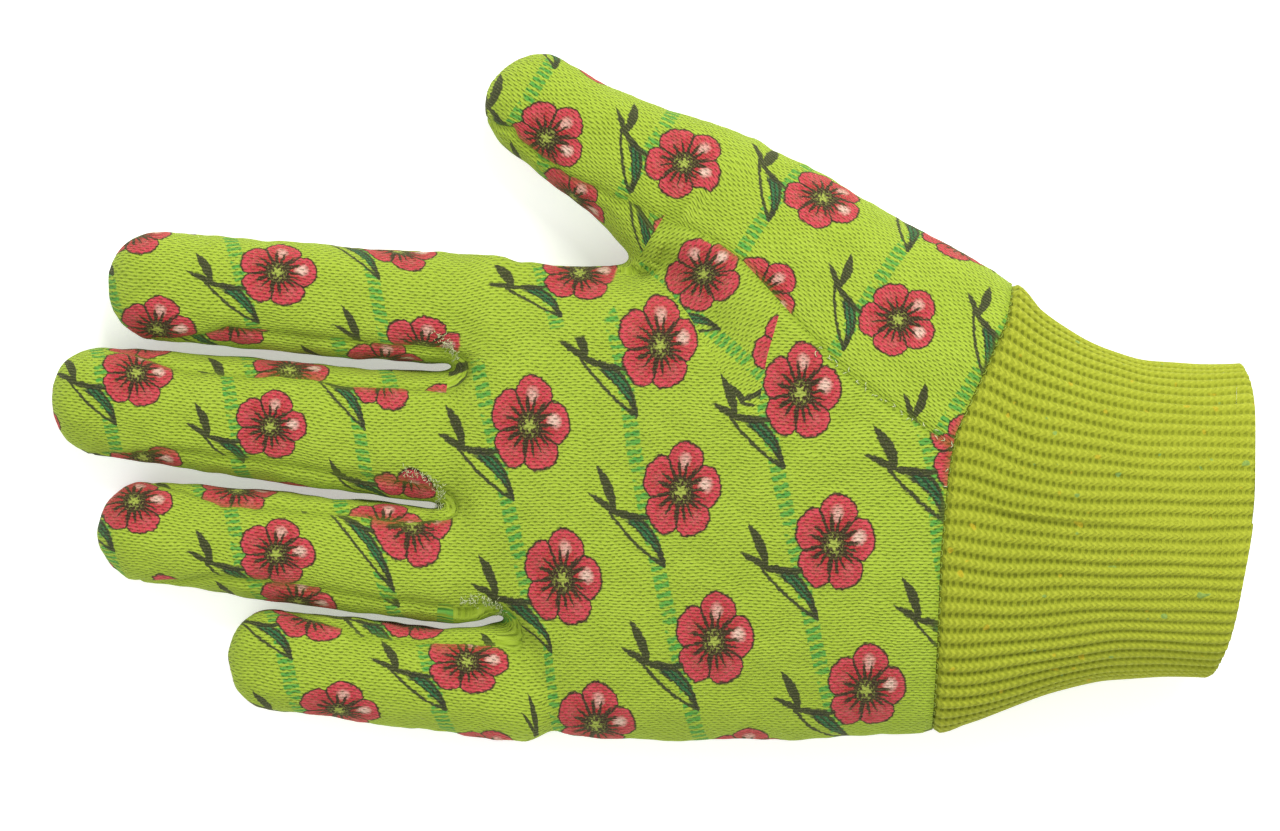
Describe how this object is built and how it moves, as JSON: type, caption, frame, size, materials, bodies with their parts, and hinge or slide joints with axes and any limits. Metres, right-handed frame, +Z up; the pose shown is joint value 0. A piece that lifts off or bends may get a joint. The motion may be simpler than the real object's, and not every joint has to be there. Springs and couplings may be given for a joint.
{
  "type": "gardening glove",
  "caption": "Right-hand gardening glove of printed cotton jersey, palm up, with side strips let into the fingers, a set-in thumb and a rib-knit wrist.",
  "frame": {"origin": "on the surface the glove lies on, under the middle of its outline", "axes": "+X towards the wrist opening, +Y towards the thumb side, +Z up out of the palm"},
  "size_m": [0.2409, 0.1381, 0.0432],
  "materials": {
    "jersey": "lime green cotton jersey printed all over with pink flowers, dark stems and small green marks",
    "rib_knit": "yellow-green ribbed knit with darker valleys and flecks",
    "thread": "white cotton sewing thread"
  },
  "bodies": {
    "hand": {"palm_panel": "jersey", "back_panel": "jersey", "thumb_heel_panel": "jersey", "thumb_crotch_panel": "jersey", "thumb_seam_thread": "thread", "wrist_seam_thread": "thread", "index_middle_crotch_strip": "jersey", "index_middle_crotch_thread": "thread", "middle_ring_crotch_strip": "jersey", "middle_ring_crotch_thread": "thread", "ring_little_crotch_strip": "jersey", "ring_little_crotch_thread": "thread"},
    "index_near": {"index_near_front": "jersey", "index_near_back": "jersey", "index_near_outer_strip": "jersey"},
    "index_far": {"index_far_front": "jersey", "index_far_back": "jersey", "index_far_outer_strip": "jersey"},
    "middle_near": {"middle_near_front": "jersey", "middle_near_back": "jersey", "middle_near_thumbward_strip": "jersey", "middle_near_outer_strip": "jersey"},
    "middle_far": {"middle_far_front": "jersey", "middle_far_back": "jersey", "middle_far_thumbward_strip": "jersey", "middle_far_outer_strip": "jersey"},
    "ring_near": {"ring_near_front": "jersey", "ring_near_back": "jersey", "ring_near_thumbward_strip": "jersey", "ring_near_outer_strip": "jersey"},
    "ring_far": {"ring_far_front": "jersey", "ring_far_back": "jersey", "ring_far_thumbward_strip": "jersey", "ring_far_outer_strip": "jersey"},
    "little_near": {"little_near_front": "jersey", "little_near_back": "jersey", "little_near_thumbward_strip": "jersey"},
    "little_far": {"little_far_front": "jersey", "little_far_back": "jersey", "little_far_thumbward_strip": "jersey"},
    "thumb_near": {"thumb_near_front": "jersey", "thumb_near_back": "jersey", "thumb_near_inner_strip": "jersey"},
    "thumb_far": {"thumb_far_front": "jersey", "thumb_far_back": "jersey", "thumb_far_inner_strip": "jersey"},
    "cuff": {"rib_cuff": "rib_knit", "cuff_hem": "rib_knit"}
  },
  "joints": [
    {"name": "index_base_fold", "type": "hinge", "parent": "hand", "child": "index_near", "pos_m": [-0.04998, 0.01907, 0.0145], "axis": [0.0665, 0.9978, 0], "range_deg": [0, 72]},
    {"name": "index_middle_fold", "type": "hinge", "parent": "index_near", "child": "index_far", "pos_m": [-0.07692, 0.02086, 0.0145], "axis": [0.0665, 0.9978, 0], "range_deg": [0, 80]},
    {"name": "middle_base_fold", "type": "hinge", "parent": "hand", "child": "middle_near", "pos_m": [-0.05294, -0.00586, 0.0145], "axis": [0.104, 0.9946, 0], "range_deg": [0, 72]},
    {"name": "middle_middle_fold", "type": "hinge", "parent": "middle_near", "child": "middle_far", "pos_m": [-0.08377, -0.00263, 0.0145], "axis": [0.104, 0.9946, 0], "range_deg": [0, 80]},
    {"name": "ring_base_fold", "type": "hinge", "parent": "hand", "child": "ring_near", "pos_m": [-0.05195, -0.03216, 0.0145], "axis": [0.1038, 0.9946, 0], "range_deg": [0, 72]},
    {"name": "ring_middle_fold", "type": "hinge", "parent": "ring_near", "child": "ring_far", "pos_m": [-0.0788, -0.02936, 0.0145], "axis": [0.1038, 0.9946, 0], "range_deg": [0, 80]},
    {"name": "little_base_fold", "type": "hinge", "parent": "hand", "child": "little_near", "pos_m": [-0.04096, -0.05632, 0.0145], "axis": [0.0976, 0.9952, 0], "range_deg": [0, 72]},
    {"name": "little_middle_fold", "type": "hinge", "parent": "little_near", "child": "little_far", "pos_m": [-0.06186, -0.05427, 0.0145], "axis": [0.0976, 0.9952, 0], "range_deg": [0, 80]},
    {"name": "thumb_base_fold", "type": "hinge", "parent": "hand", "child": "thumb_near", "pos_m": [-0.00051, 0.04464, 0.019], "axis": [0.5299, 0.848, 0], "range_deg": [0, 50]},
    {"name": "thumb_tip_fold", "type": "hinge", "parent": "thumb_near", "child": "thumb_far", "pos_m": [-0.01366, 0.05286, 0.015], "axis": [0.5299, 0.848, 0], "range_deg": [0, 65]},
    {"name": "wrist_fold", "type": "hinge", "parent": "hand", "child": "cuff", "pos_m": [0.062, 0, 0.0176], "axis": [-0.1219, -0.9925, 0], "range_deg": [-18, 18]}
  ]
}
